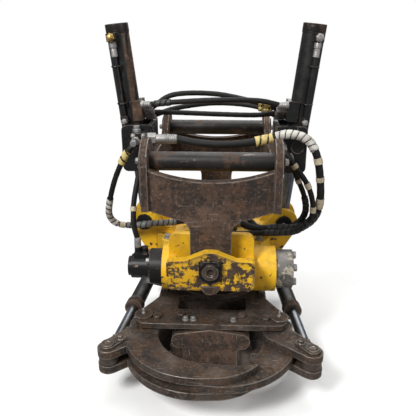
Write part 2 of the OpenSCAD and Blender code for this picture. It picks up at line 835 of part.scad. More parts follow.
nose_arm_x = 102;
module cassette_bottom_plate() {
    color(worn_steel) difference() {
        plate_xy(bottom_plate_z, bottom_plate_t) {
            cassette_outline();
            translate([-cheek_outer_x - 8, rear_pin_y]) square([lower_hitch_w + 16, pin_y + 47 - rear_pin_y]);
        }
        translate([-nose_arm_x - 3, cassette_front_y - 5, bottom_plate_z - 1])
            cube([2 * nose_arm_x + 6, hook_front_y - cassette_front_y + 5, bottom_plate_t + 2]);
        cassette_pin_bores();
    }
}

module cassette_walls() {
    wall_z = bottom_plate_z + bottom_plate_t;
    wall_h = top_plate_z - wall_z;
    color(worn_steel) {
        for (side = [-1, 1])
            on_side(side) translate([116, -118, wall_z]) cube([20, rear_pin_y + 138, wall_h]);
        translate([-116, -118, wall_z]) cube([232, 20, wall_h]);
    }
}

module cassette_bolts() {
    places = [[140, -238], [80, -226], [136, -96], [136, 100], [100, 170]];
    color(steel) for (side = [-1, 1])
        for (p = places)
            translate([side * p.x, p.y, hub_z]) hex_head(20, 9);
}

module finger_pivot_pins() {
    color(steel) for (side = [-1, 1])
        on_side(side) {
            along_z(finger_pin_d / 2, bottom_plate_z - 4, hub_z, finger_pivot_x, finger_pivot_y);
            along_z(finger_pin_d / 2 + 6, hub_z, hub_z + 6, finger_pivot_x, finger_pivot_y);
        }
}

module grip_rear_pins() {
    color(steel) for (side = [-1, 1])
        on_side(side) {
            along_z(rear_pin_r, bottom_plate_z - 4, hub_z, rear_pin_x, rear_pin_y);
            along_z(rear_pin_r + 6, hub_z, hub_z + 6, rear_pin_x, rear_pin_y);
        }
}

// Lower hitch

function nose_half() = concat(
    [[0, top_plate_z]],
    arc([nose_arm_x - 22, bottom_plate_z + 47], 22, 90, -90, 10),
    [
        [cheek_outer_x, bottom_plate_z + 25],
        [cheek_outer_x, 14],
        [cheek_outer_x - 14, 0]
    ]
);

module hitch_nose() {
    color(rust) plate_xz(hook_front_y - nose_t, nose_t) polygon(concat(nose_half(), mirrored(nose_half())));
}

module front_hook() {
    color(worn_steel) difference() {
        plate_yz(-cheek_outer_x, lower_hitch_w) polygon([
            [hook_front_y, 0], [-pin_y + 4, 0], [-pin_y + 10, 6],
            [-pin_y + 10, lower_pin_z], [hook_back_y, lower_pin_z],
            [hook_back_y, bottom_plate_z], [hook_front_y, bottom_plate_z]
        ]);
        along_x(lower_pin_r, -cheek_outer_x - 1, cheek_outer_x + 1, -pin_y, lower_pin_z);
        translate([-cheek_outer_x - 1, -pin_y, lower_pin_z - lower_pin_r])
            cube([lower_hitch_w + 2, 40, 2 * lower_pin_r]);
    }
}

belly_half_len = pin_y - 67;
module hitch_cheeks() {
    roof_z = lower_pin_z + lower_pin_r;
    saddle_z = wedge_top_z + 4;
    color(worn_steel) for (side = [-1, 1])
        on_side(side) difference() {
            plate_yz(cheek_inner_x, cheek_t) polygon([
                [hook_back_y, bottom_plate_z], [hook_back_y, roof_z],
                [-belly_half_len - 10, roof_z], [-belly_half_len, roof_z - 10],
                [-belly_half_len, 8], [-belly_half_len + 8, 0],
                [belly_half_len - 8, 0], [belly_half_len, 8], [belly_half_len, saddle_z],
                [pin_y + 47, saddle_z], [pin_y + 47, bottom_plate_z]
            ]);
            along_x(lower_pin_r, 0, cheek_outer_x + 1, pin_y, lower_pin_z);
            translate([0, pin_y - lower_pin_r, 0]) cube([cheek_outer_x + 1, 2 * lower_pin_r, lower_pin_z]);
        }
}

module hitch_belly() {
    color(worn_steel) translate([-cheek_inner_x, -belly_half_len, 0])
        cube([2 * cheek_inner_x, 2 * belly_half_len, belly_t]);
}

lock_r = 10;
lock_axis_z = wedge_top_z + 17;
module lock_cylinder() {
    foot_w = 24;
    color(black) difference() {
        union() {
            along_y(16, -110, 40, 0, lock_axis_z);
            for (y = [-100, 10])
                translate([-foot_w / 2, y, belly_t]) cube([foot_w, 18, lock_axis_z - belly_t]);
        }
        along_y(lock_r + fit_gap, -90, 41, 0, lock_axis_z);
    }
}

module lock_wedge() {
    wedge_y = 100;
    tip_y = pin_y + 13;
    wedge_z = belly_t + 0.5;
    wedge_half_w = cheek_inner_x - 1;
    color(worn_steel) {
        plate_yz(-wedge_half_w, 2 * wedge_half_w) polygon([
            [wedge_y, wedge_z], [tip_y, wedge_z], [tip_y, wedge_top_z - 6],
            [pin_y - 25, wedge_top_z], [wedge_y, wedge_top_z]
        ]);
        translate([-14, wedge_y, wedge_top_z - 2]) cube([28, 16, lock_axis_z + 12 - wedge_top_z]);
        along_y(lock_r, -40, wedge_y + 1, 0, lock_axis_z);
    }
}

// Gripper, drawn for the right-hand pivot with its claw across the front

claw_end_angle = 311;
function claw_inner_r(a) = grip_r + (a > 270 ? 40 * pow((a - 270) / (claw_end_angle - 270), 1.6) : 0);
claw_side_w = 26;
function claw_outer_r_at(a) =
    claw_outer_r + (a < 270 ? claw_side_w * cos(a - 180) : 0)
    - (a > 280 ? 13 * pow((a - 280) / (claw_end_angle - 280), 1.6) : 0);
claw_angles = [for (i = [0 : 30]) 180 + (claw_end_angle - 180) * i / 30];
claw_outline = concat(
    [for (a = claw_angles) [-claw_outer_r_at(a) * cos(a), claw_outer_y + claw_outer_r_at(a) * sin(a)]],
    [for (i = [30 : -1 : 0])
        let (a = claw_angles[i])
        [-claw_inner_r(a) * cos(a), grip_centre_y + claw_inner_r(a) * sin(a)]]
);
finger_pivot = [finger_pivot_x, finger_pivot_y];
lug_place = [lug_x, lug_y];

module claw_plate(layer) {
    plate_xy(finger_z + layer * finger_step, finger_t) {
        polygon(claw_outline);
        polygon(strap(finger_pivot, finger_hub_r, [165, -272], 30));
    }
}

module lug_plate(layer) {
    plate_xy(finger_z + layer * finger_step, finger_t)
        polygon(strap(lug_place, lug_r, [172, -262], 38));
}

module finger_bores() {
    along_z(finger_pin_d / 2 + fit_gap, finger_z - 1, finger_top_z + 1, finger_pivot_x, finger_pivot_y);
    along_z(lug_pin_r + fit_gap, finger_z - 1, finger_top_z + 1, lug_x, lug_y);
}

module finger(side, claw_layers) {
    color(worn_steel) on_side(side) difference() {
        union() {
            for (layer = claw_layers)
                claw_plate(layer);
            for (layer = [0, 2])
                lug_plate(layer);
            along_z(finger_hub_r, finger_z, finger_top_z, finger_pivot_x, finger_pivot_y);
        }
        finger_bores();
    }
}

module finger_left() { finger(-1, [0, 2]); }
module finger_right() { finger(1, [1]); }

// Each lug pin is in two halves, one in each lug plate, clear of the rod eye
module lug_pins(side) {
    color(steel) on_side(side) {
        along_z(lug_pin_r, finger_z - 5, finger_z + finger_t, lug_x, lug_y);
        along_z(lug_pin_r, finger_top_z - finger_t, finger_top_z + 4, lug_x, lug_y);
        plate_xy(finger_top_z, 7) polygon(strap(lug_place, 19, lug_place + [-30, 26], 9));
    }
}

module lug_pins_left() { lug_pins(-1); }
module lug_pins_right() { lug_pins(1); }

module at_grip_rear(side) {
    on_side(side) translate([rear_pin_x, rear_pin_y, finger_mid_z]) rotate([0, 0, grip_angle]) children();
}

module grip_barrel(side) {
    eye_half = 20;
    color(black) at_grip_rear(side) difference() {
        union() {
            along_z(24, -eye_half, eye_half, 0, 0);
            along_x(grip_barrel_d / 2, 12, grip_barrel_len, 0, 0);
            along_x(grip_barrel_d / 2 + 3, grip_barrel_len, grip_barrel_len + grip_gland_len, 0, 0);
        }
        along_z(rear_pin_r + fit_gap, -grip_barrel_d, grip_barrel_d, 0, 0);
        along_x(grip_bore_r, 40, grip_barrel_len, 0, 0);
        along_x(grip_rod_d / 2 + fit_gap, grip_barrel_len - 1, grip_barrel_len + grip_gland_len + 1, 0, 0);
    }
}

module grip_barrel_left() { grip_barrel(-1); }
module grip_barrel_right() { grip_barrel(1); }

// The flat rod end and its eye lie between the lug plates
module grip_rod(side) {
    eye_half = finger_t / 2 - 0.5;
    rod_end_len = 82;
    color(chrome) at_grip_rear(side) {
        along_x(grip_rod_d / 2, 170, grip_reach - rod_end_len, 0, 0);
        translate([grip_reach - rod_end_len, -grip_rod_d / 2, -eye_half])
            cube([rod_end_len, grip_rod_d, 2 * eye_half]);
        along_x(grip_bore_r - fit_gap, 158, 182, 0, 0);
        along_z(24, -eye_half, eye_half, grip_reach, 0);
    }
}

module grip_rod_left() { grip_rod(-1); }
module grip_rod_right() { grip_rod(1); }

hanger_side_left();
hanger_side_right();
hanger_front_plate();
hanger_rear_plate();
hitch_pin_front();
hitch_pin_rear();
tilt_bushes();
trunnion_bracket_left();
trunnion_bracket_right();
valve_block();
hose_fittings();
crossover_hoses();
supply_hose();
left_hoses();
right_swivel_hoses();
tilt_front_plate();
tilt_rear_plate();
gear_housing();
cylinder_ear_left();
cylinder_ear_right();
ear_pins();
tilt_pins();
pin_retainers();
grease_plugs();
worm_bearings();
worm_cover();
cover_bolts();
motor_flange();
drive_motor();
motor_bolts();
slew_bearing();
slew_seal();
hydraulic_swivel();
worm_shaft();
tilt_barrel_left();
tilt_barrel_right();
tilt_rod_left();
tilt_rod_right();
worm_wheel();
rotor_hub();
cassette_top_plate();
cassette_bottom_plate();
cassette_walls();
cassette_bolts();
finger_pivot_pins();
grip_rear_pins();
hitch_nose();
front_hook();
hitch_cheeks();
hitch_belly();
lock_cylinder();
lock_wedge();
finger_left();
finger_right();
lug_pins_left();
lug_pins_right();
grip_barrel_left();
grip_barrel_right();
grip_rod_left();
grip_rod_right();
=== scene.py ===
"""Looks of the tilting and rotating excavator head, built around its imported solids.

Metres, +Z up, -Y is the front. Places that are read off the solids are in millimetres and go through MM.
"""

import json
import math
import random

import bmesh
import bpy
from mathutils import Matrix, Vector, noise


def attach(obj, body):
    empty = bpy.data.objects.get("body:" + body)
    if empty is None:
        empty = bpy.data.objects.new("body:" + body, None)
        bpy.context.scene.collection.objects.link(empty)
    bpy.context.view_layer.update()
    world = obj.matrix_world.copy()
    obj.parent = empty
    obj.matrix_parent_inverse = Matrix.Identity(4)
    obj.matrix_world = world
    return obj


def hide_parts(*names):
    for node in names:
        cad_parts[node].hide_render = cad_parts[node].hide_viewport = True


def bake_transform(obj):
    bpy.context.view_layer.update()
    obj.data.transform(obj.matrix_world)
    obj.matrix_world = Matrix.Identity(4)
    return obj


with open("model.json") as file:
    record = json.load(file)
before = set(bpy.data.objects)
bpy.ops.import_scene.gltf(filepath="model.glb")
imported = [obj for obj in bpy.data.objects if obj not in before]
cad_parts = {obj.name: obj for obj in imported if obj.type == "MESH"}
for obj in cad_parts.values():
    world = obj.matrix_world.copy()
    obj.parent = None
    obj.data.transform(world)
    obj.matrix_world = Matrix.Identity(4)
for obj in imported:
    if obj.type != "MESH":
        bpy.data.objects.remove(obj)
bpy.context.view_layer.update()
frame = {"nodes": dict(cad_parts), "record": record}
scene = bpy.context.scene
scene.view_settings.view_transform = "Standard"
dice = random.Random(7)
MM = 0.001


# Finishes

class Wire:
    """A socket in a material, on which sums are written as plain Python."""

    def __init__(self, finish, socket):
        self.finish = finish
        self.socket = socket

    def _math(self, operation, a, b=None):
        inputs = {0: a} if b is None else {0: a, 1: b}
        return self.finish.add("ShaderNodeMath", {"operation": operation}, inputs)

    def __add__(self, other):
        return self._math("ADD", self, other)

    def __radd__(self, other):
        return self._math("ADD", other, self)

    def __sub__(self, other):
        return self._math("SUBTRACT", self, other)

    def __rsub__(self, other):
        return self._math("SUBTRACT", other, self)

    def __mul__(self, other):
        return self._math("MULTIPLY", self, other)

    def __rmul__(self, other):
        return self._math("MULTIPLY", other, self)

    def __abs__(self):
        return self._math("ABSOLUTE", self)

    def clamp(self):
        return self.finish.add("ShaderNodeClamp", {}, {0: self})

    def over(self, low, high):
        """0 below low, 1 above high, and a smooth step between."""
        return self.finish.add(
            "ShaderNodeMapRange",
            {"interpolation_type": "SMOOTHSTEP"},
            {0: self, 1: low, 2: high, 3: 0.0, 4: 1.0},
        )


class Finish:
    """A node material under construction."""

    def __init__(self, name):
        self.material = bpy.data.materials.new(name)
        self.material.use_nodes = True
        self.tree = self.material.node_tree
        self.shader = self.tree.nodes["Principled BSDF"]
        self.place = self.add("ShaderNodeTexCoord", {}, {}, "Object")

    def add(self, kind, settings, inputs, output=0):
        node = self.tree.nodes.new(kind)
        for key, value in settings.items():
            if key == "stops":
                self.set_stops(node.color_ramp, value)
            else:
                setattr(node, key, value)
        for key, value in inputs.items():
            if isinstance(value, Wire):
                self.tree.links.new(value.socket, node.inputs[key])
            else:
                node.inputs[key].default_value = value
        return Wire(self, node.outputs[output])

    @staticmethod
    def set_stops(ramp, stops):
        while len(ramp.elements) < len(stops):
            ramp.elements.new(0.5)
        for element, (at, colour) in zip(ramp.elements, stops):
            element.position = at
            element.color = (*colour, 1)

    def noise(self, scale, detail=4.0, rough=0.55, stretch=None):
        place = self.place
        if stretch:
            place = self.add("ShaderNodeVectorMath", {"operation": "MULTIPLY"}, {0: place, 1: stretch})
        inputs = {"Vector": place, "Scale": scale, "Detail": detail, "Roughness": rough}
        return self.add("ShaderNodeTexNoise", {}, inputs)

    def scratches(self, scale, along):
        return self.noise(scale, 3.0, 0.7, along).over(0.63, 0.7)

    def along_normal(self, direction):
        flat = self.add("ShaderNodeNewGeometry", {}, {}, "Normal")
        inputs = {0: flat, 1: direction}
        return self.add("ShaderNodeVectorMath", {"operation": "DOT_PRODUCT"}, inputs, "Value")

    def edges(self, radius, low, high):
        """Near 1 on sharp outer and inner edges."""
        rounded = self.add("ShaderNodeBevel", {"samples": 4}, {"Radius": radius})
        return (1 - self.along_normal(rounded)).over(low, high)

    def facing(self, direction):
        """How far a surface faces a direction of the object, from 0 to 1."""
        return self.along_normal(direction).clamp()

    def axis(self, letter):
        """The place along one axis of the object."""
        return self.add("ShaderNodeSeparateXYZ", {}, {0: self.place}, letter)

    def ramp(self, factor, stops):
        return self.add("ShaderNodeValToRGB", {"stops": stops}, {0: factor})

    def mix(self, factor, under, over):
        def colour(value):
            return value if isinstance(value, Wire) else (*value, 1)

        settings = {"data_type": "RGBA"}
        return self.add("ShaderNodeMix", settings, {0: factor, 6: colour(under), 7: colour(over)}, 2)

    def finish(
        self, colour, rough, metal=None, height=None, strength=0.3, round_edges=None, constants=None,
    ):
        """Joins the wires to the shader and gives the finished material."""
        links = {"Base Color": colour, "Roughness": rough, "Metallic": metal}
        for key, value in links.items():
            if isinstance(value, Wire):
                self.tree.links.new(value.socket, self.shader.inputs[key])
            elif value is not None:
                self.shader.inputs[key].default_value = value
        normal = None
        if round_edges:
            normal = self.add("ShaderNodeBevel", {"samples": 4}, {"Radius": round_edges})
        if height is not None:
            inputs = {"Height": height, "Strength": strength, "Distance": 0.002}
            if normal:
                inputs["Normal"] = normal
            normal = self.add("ShaderNodeBump", {}, inputs)
        if normal:
            self.tree.links.new(normal.socket, self.shader.inputs["Normal"])
        for key, value in (constants or {}).items():
            self.shader.inputs[key].default_value = value
        return self.material


def rusty_steel():
    """Brown weathered plate with darker stains, orange bloom and bright rubbed edges."""
    f = Finish("rusty_steel")
    clouds = f.noise(9, 6, 0.62)
    grain = f.noise(210, 3, 0.6)
    bloom = f.noise(23, 5, 0.6).over(0.52, 0.68)
    stain = f.noise(17, 7, 0.76).over(0.46, 0.56)
    specks = f.noise(120, 4, 0.75).over(0.53, 0.64)
    pits = f.noise(85, 5, 0.75).over(0.53, 0.6)
    brown = f.ramp(clouds, [
        (0.3, (0.038, 0.023, 0.016)), (0.5, (0.082, 0.048, 0.032)), (0.7, (0.140, 0.086, 0.060)),
    ])
    colour = f.mix(bloom * 0.4, brown, (0.150, 0.068, 0.032))
    colour = f.mix(stain * 0.74, colour, (0.020, 0.016, 0.014))
    colour = f.mix(specks * 0.42, colour, (0.200, 0.118, 0.072))
    colour = f.mix(pits * 0.55, colour, (0.012, 0.010, 0.009))
    worn = f.edges(0.006, 0.04, 0.16) * f.noise(34, 4).over(0.36, 0.52)
    scraped = f.scratches(16, (1, 1, 9)) + f.scratches(19, (8, 1, 1)) + f.scratches(24, (5, 1, 6))
    bare = (worn + 0.45 * scraped).clamp()
    colour = f.mix(bare * 0.82, colour, (0.40, 0.34, 0.29))
    rough = 0.72 + 0.2 * grain - 0.34 * bare
    height = clouds * 0.4 + grain * 0.5 + bloom * 0.3 - pits * 0.5
    return f.finish(colour, rough, 0.25 + 0.5 * bare, height, 0.4, 0.002)


def worn_steel():
    """Dark scuffed steel with brown film and polished edges."""
    f = Finish("worn_steel")
    clouds = f.noise(11, 6, 0.6)
    grain = f.noise(260, 2, 0.6)
    film = f.noise(26, 6, 0.7).over(0.46, 0.6)
    grit = f.noise(130, 4, 0.75).over(0.52, 0.64)
    soot = f.noise(19, 6, 0.72).over(0.5, 0.62)
    grey = f.ramp(clouds, [
        (0.3, (0.024, 0.020, 0.018)), (0.52, (0.070, 0.055, 0.046)), (0.7, (0.170, 0.138, 0.116)),
    ])
    colour = f.mix(film * 0.7, grey, (0.098, 0.056, 0.034))
    colour = f.mix(soot * 0.6, colour, (0.016, 0.014, 0.013))
    colour = f.mix(grit * 0.5, colour, (0.235, 0.160, 0.108))
    worn = f.edges(0.005, 0.03, 0.14) * f.noise(30, 4).over(0.33, 0.5)
    scraped = f.scratches(22, (1, 8, 8)) * 0.6
    bare = (worn + scraped).clamp()
    colour = f.mix(bare * 0.8, colour, (0.42, 0.38, 0.34))
    rough = 0.56 + 0.25 * grain - 0.3 * bare
    return f.finish(colour, rough, 0.45 + 0.5 * bare, clouds * 0.5 + grain * 0.4, 0.28, 0.002)


def oiled_pin():
    """Blackened hitch pin, greasy, with rust patches and bright scuffs where the hooks bear."""
    f = Finish("oiled_pin")
    grain = f.noise(230, 3, 0.6)
    rust = f.noise(21, 6, 0.72).over(0.53, 0.62)
    scuffs = f.noise(48, 5, 0.7, (0.35, 1, 1)).over(0.6, 0.67)
    dark = f.ramp(f.noise(15, 6, 0.65), [(0.3, (0.007, 0.007, 0.007)), (0.7, (0.032, 0.028, 0.025))])
    colour = f.mix(rust * 0.7, dark, (0.095, 0.050, 0.030))
    colour = f.mix(scuffs * 0.55, colour, (0.24, 0.20, 0.17))
    rough = 0.34 + 0.2 * grain + 0.25 * rust
    return f.finish(colour, rough, 0.4 + 0.3 * scuffs, grain * 0.4 + rust * 0.4, 0.3, 0.002)


def bare_steel():
    """Grey machined steel with a dull film and small rust dots."""
    f = Finish("bare_steel")
    clouds = f.noise(24, 5, 0.6)
    grain = f.noise(320, 2, 0.5)
    dots = f.noise(75, 4, 0.6).over(0.6, 0.68)
    grey = f.ramp(clouds, [(0.3, (0.19, 0.185, 0.18)), (0.7, (0.40, 0.39, 0.38))])
    colour = f.mix(dots * 0.7, grey, (0.16, 0.085, 0.045))
    shiny = f.edges(0.002, 0.03, 0.15)
    colour = f.mix(shiny * 0.6, colour, (0.62, 0.61, 0.60))
    return f.finish(colour, 0.4 + 0.3 * grain + 0.25 * dots, 0.75 - 0.45 * dots, grain + dots, 0.2, 0.0012)


def flaking_cover():
    """Grey steel cover on which old paint flakes off in patches."""
    f = Finish("flaking_cover")
    grain = f.noise(260, 2, 0.5)
    flakes = f.noise(42, 5, 0.66).over(0.54, 0.58)
    deep = f.noise(60, 5, 0.66).over(0.6, 0.64)
    steel = f.ramp(f.noise(30, 5), [(0.3, (0.10, 0.095, 0.09)), (0.7, (0.30, 0.285, 0.27))])
    colour = f.mix(flakes * 0.75, steel, (0.46, 0.41, 0.31))
    colour = f.mix(deep * 0.85, colour, (0.16, 0.080, 0.042))
    rough = 0.42 + 0.25 * grain + 0.15 * flakes
    return f.finish(colour, rough, 0.7 - 0.55 * flakes, flakes + deep * 0.6 + grain * 0.2, 0.4, 0.0015)


def bronze():
    """Warm bearing metal with a dull film."""
    f = Finish("bronze")
    clouds = f.noise(40, 5)
    colour = f.ramp(clouds, [(0.3, (0.24, 0.13, 0.045)), (0.7, (0.46, 0.28, 0.11))])
    return f.finish(colour, 0.36 + 0.25 * clouds, 0.9, f.noise(220, 2), 0.15, 0.001)


def black_paint():
    """Black paint, dusty, chipped to brown and bright metal along the edges."""
    f = Finish("black_paint")
    clouds = f.noise(13, 6, 0.62)
    peel = f.noise(170, 2, 0.5)
    dust = f.noise(17, 5, 0.65).over(0.42, 0.72) * (0.35 + 0.65 * f.facing((0, 0, 1)))
    black = f.ramp(clouds, [(0.3, (0.005, 0.005, 0.006)), (0.7, (0.014, 0.014, 0.014))])
    colour = f.mix(dust * 0.17, black, (0.090, 0.072, 0.058))
    chips = f.noise(58, 5, 0.64).over(0.655, 0.68)
    worn = f.edges(0.004, 0.05, 0.16) * f.noise(44, 4).over(0.46, 0.56)
    lost = (chips + worn).clamp()
    rust = f.ramp(f.noise(90, 3), [(0.35, (0.115, 0.055, 0.030)), (0.65, (0.32, 0.27, 0.235))])
    colour = f.mix(lost, colour, rust)
    rough = 0.3 + 0.14 * peel + 0.3 * dust + 0.2 * lost
    height = peel * 0.25 - lost * 0.8
    return f.finish(colour, rough, 0.4 * lost, height, 0.25, 0.0018, {"Specular IOR Level": 0.32})


def rubbed_black():
    """Black cylinder paint, rubbed through to brown in long streaks on the inner side."""
    f = Finish("rubbed_black")
    across = f.axis("X")
    off_axis = abs(across) - 0.108 * f.axis("Z") - 0.158
    clouds = f.noise(13, 6, 0.62)
    peel = f.noise(170, 2, 0.5)
    streaks = f.noise(30, 5, 0.66, (1, 1, 0.16))
    inner_half = 1 - off_axis.over(-0.019, -0.007)
    left = 1 - across.over(-0.1, 0.1)
    rubbed = (streaks + 0.13 * inner_half * left - 0.08 * (1 - inner_half)).over(0.57, 0.66)
    rubbed = rubbed * (0.2 + 0.8 * left)
    black = f.ramp(clouds, [(0.3, (0.005, 0.005, 0.006)), (0.7, (0.013, 0.013, 0.013))])
    dust = f.noise(19, 5, 0.65).over(0.45, 0.75)
    colour = f.mix(dust * 0.13, black, (0.080, 0.066, 0.055))
    brown = f.ramp(f.noise(60, 5, 0.7), [
        (0.3, (0.030, 0.021, 0.016)), (0.55, (0.110, 0.066, 0.042)), (0.75, (0.24, 0.16, 0.11)),
    ])
    worn = f.edges(0.003, 0.05, 0.16) * f.noise(44, 4).over(0.4, 0.55)
    lost = (rubbed + worn).clamp()
    colour = f.mix(lost, colour, brown)
    rough = 0.3 + 0.12 * peel + 0.25 * dust + 0.25 * lost
    height = peel * 0.25 - lost * 0.6
    return f.finish(colour, rough, 0.35 * lost, height, 0.22, 0.0015, {"Specular IOR Level": 0.35})


def yellow_paint():
    """Yellow machine paint, worn to brown steel on the faces and chipped at the edges."""
    f = Finish("yellow_paint")
    height, depth = f.axis("Z"), f.axis("Y")
    clouds = f.noise(8, 5, 0.6)
    peel = f.noise(190, 2, 0.5)
    yellow = f.ramp(clouds, [
        (0.3, (0.60, 0.32, 0.008)), (0.5, (0.79, 0.45, 0.010)), (0.7, (0.88, 0.53, 0.018)),
    ])
    grime = f.noise(19, 6, 0.66).over(0.44, 0.7)
    colour = f.mix(grime * 0.5, yellow, (0.24, 0.145, 0.05))
    front = (f.facing((0, -1, 0)).over(0.7, 0.95)) * (1 - depth.over(-0.29, -0.26))
    scoured = (f.noise(31, 7, 0.74) + 0.085 * front).over(0.565, 0.595)
    border = f.edges(0.014, 0.006, 0.06) * f.noise(27, 6, 0.7).over(0.4, 0.46) * front
    below = 1 - height.over(0.285, 0.31)
    chips = (f.noise(52, 5, 0.66) + 0.03 * below).over(0.63, 0.66)
    lost = (scoured * (0.2 + 0.8 * front) + border + chips).clamp()
    brown = f.ramp(f.noise(34, 5, 0.65), [
        (0.3, (0.030, 0.020, 0.015)), (0.55, (0.080, 0.050, 0.035)), (0.75, (0.19, 0.135, 0.10)),
    ])
    colour = f.mix(lost, colour, brown)
    worn = f.edges(0.004, 0.08, 0.2) * f.noise(47, 4).over(0.52, 0.6)
    colour = f.mix(worn * 0.8, colour, (0.36, 0.27, 0.19))
    rough = 0.42 + 0.15 * peel + 0.22 * grime + 0.14 * lost
    return f.finish(colour, rough, 0.3 * lost, peel * 0.2 - lost * 0.8 - grime * 0.1, 0.3, 0.003)


def rod_chrome():
    """Plated rod, bright and faintly scored along its stroke."""
    f = Finish("rod_chrome")
    smear = f.noise(36, 4, 0.6)
    score = f.noise(150, 3, 0.6, (1, 1, 0.1)).over(0.6, 0.75)
    bright = f.ramp(smear, [(0.3, (0.155, 0.172, 0.195)), (0.7, (0.30, 0.325, 0.36))])
    height, depth = f.axis("Z"), f.axis("Y")
    low_eye = height.over(0.3, 0.32) * (1 - height.over(0.395, 0.405))
    grip_eye = 1 - depth.over(-0.262, -0.256)
    eye = (low_eye + grip_eye).clamp()
    forged = f.ramp(f.noise(30, 5), [(0.3, (0.030, 0.023, 0.019)), (0.7, (0.120, 0.088, 0.068))])
    colour = f.mix(eye, bright, forged)
    rough = 0.22 + 0.2 * smear + 0.12 * score + 0.33 * eye
    return f.finish(colour, rough, 1.0 - 0.6 * eye, score, 0.05, 0.0012)


def hose_rubber():
    """Black hose cover with a fine cloth mark, dust and scuffs."""
    f = Finish("hose_rubber")
    cloth = f.noise(420, 2, 0.6)
    dust = f.noise(28, 5, 0.65).over(0.42, 0.75)
    scuffs = f.noise(70, 4, 0.7).over(0.66, 0.72)
    colour = f.mix(dust * 0.2, (0.005, 0.005, 0.005), (0.060, 0.051, 0.043))
    colour = f.mix(scuffs * 0.4, colour, (0.13, 0.115, 0.10))
    rough = 0.5 + 0.2 * cloth + 0.2 * dust
    height = cloth * 0.5 + scuffs * 0.4
    return f.finish(colour, rough, 0.0, height, 0.3, None, {"Specular IOR Level": 0.3})


def plastic_wrap(name, light, dark, gloss):
    """Spiral or tape wrap with dirt worked into it."""
    f = Finish(name)
    dirt = f.noise(40, 6, 0.68).over(0.42, 0.7)
    fine = f.noise(210, 3, 0.6)
    tint = f.mix(f.noise(90, 3), light, tuple(0.8 * c for c in light))
    colour = f.mix(dirt * 0.75, tint, dark)
    return f.finish(colour, gloss + 0.2 * fine + 0.15 * dirt, 0.0, fine * 0.6 + dirt * 0.4, 0.3)


def brass():
    """Hose nut of brass, tarnished."""
    f = Finish("brass")
    clouds = f.noise(70, 5)
    colour = f.ramp(clouds, [(0.3, (0.25, 0.14, 0.04)), (0.7, (0.56, 0.39, 0.15))])
    return f.finish(colour, 0.32 + 0.3 * clouds, 0.9, f.noise(260, 2), 0.15, 0.0008)


RUSTY, WORN, BARE = rusty_steel(), worn_steel(), bare_steel()
FLAKED, BRONZE, BLACK = flaking_cover(), bronze(), black_paint()
RUBBED, YELLOW, CHROME = rubbed_black(), yellow_paint(), rod_chrome()
RUBBER, BRASS, OILED = hose_rubber(), brass(), oiled_pin()
WHITE_WRAP = plastic_wrap("white_wrap", (0.62, 0.60, 0.55), (0.20, 0.155, 0.115), 0.42)
CREAM_TAPE = plastic_wrap("cream_tape", (0.58, 0.50, 0.35), (0.19, 0.135, 0.085), 0.5)
YELLOW_CLOTH = plastic_wrap("yellow_cloth", (0.66, 0.53, 0.20), (0.24, 0.16, 0.07), 0.7)
GREY_WRAP = plastic_wrap("grey_wrap", (0.165, 0.170, 0.165), (0.060, 0.055, 0.048), 0.4)
BLACK_WRAP = plastic_wrap("black_wrap", (0.022, 0.022, 0.022), (0.075, 0.062, 0.05), 0.42)

SLOT_FINISH = {
    "rusty_steel": RUSTY, "worn_steel": WORN, "bronze": BRONZE, "black_paint": BLACK,
    "bare_steel": BARE, "hose_rubber": RUBBER, "yellow_paint": YELLOW, "rod_chrome": CHROME,
}
for row in frame["record"]["subparts"]:
    mesh = frame["nodes"][row["node"]].data
    mesh.materials.clear()
    mesh.materials.append(SLOT_FINISH[row["material_slot"]])
for node, finish in {
    "worm_cover": FLAKED, "tilt_barrel_left": RUBBED, "tilt_barrel_right": RUBBED,
    "lug_pins_left": WORN, "lug_pins_right": WORN, "cassette_bolts": WORN,
    "hitch_pin_front": OILED, "hitch_pin_rear": OILED,
}.items():
    frame["nodes"][node].data.materials[0] = finish


# Mesh helpers

def piece(name, verts, faces, finishes, body, which=None, smooth=True):
    mesh = bpy.data.meshes.new(name)
    mesh.from_pydata(verts, [], faces)
    for finish in finishes:
        mesh.materials.append(finish)
    for number, face in enumerate(mesh.polygons):
        face.use_smooth = smooth
        if which:
            face.material_index = which[number]
    mesh.update()
    made = bpy.data.objects.new(name, mesh)
    scene.collection.objects.link(made)
    if body:
        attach(made, body)
    return made


class Shape:
    """Vertices and faces gathered for one piece."""

    def __init__(self):
        self.verts = []
        self.faces = []
        self.which = []

    def ring_stack(self, rings, finish=0, closed_ends=True):
        sides = len(rings[0])
        start = len(self.verts)
        for ring in rings:
            self.verts.extend(ring)
        for i in range(len(rings) - 1):
            a, b = start + i * sides, start + (i + 1) * sides
            for k in range(sides):
                n = (k + 1) % sides
                self.faces.append((a + k, a + n, b + n, b + k))
                self.which.append(finish(i, k) if callable(finish) else finish)
        if closed_ends:
            self.faces.append(tuple(start + k for k in reversed(range(sides))))
            last = start + (len(rings) - 1) * sides
            self.faces.append(tuple(last + k for k in range(sides)))
            cap_finish = 0 if callable(finish) else finish
            self.which += [cap_finish, cap_finish]

    def turned(self, profile, at, along, sides=24, finish=0, twist=0.0):
        """A turned form: (distance along, radius) pairs about an axis."""
        axis = Vector(along).normalized()
        u = axis.orthogonal().normalized()
        v = axis.cross(u)
        rings = []
        for s, r in profile:
            centre = Vector(at) + axis * s
            rings.append([
                centre + r * (math.cos(a) * u + math.sin(a) * v)
                for a in (twist + 2 * math.pi * k / sides for k in range(sides))
            ])
        self.ring_stack(rings, finish)

    def hexagon(self, across, height, at, along, finish=0, twist=0.0):
        r = across / math.sqrt(3)
        self.turned([(0, r), (height * 0.86, r), (height, r * 0.88)], at, along, 6, finish, twist)

    def build(self, name, finishes, body, smooth=True):
        made = piece(name, self.verts, self.faces, finishes, body, self.which, smooth)
        if smooth:
            sharpen(made)
        return made


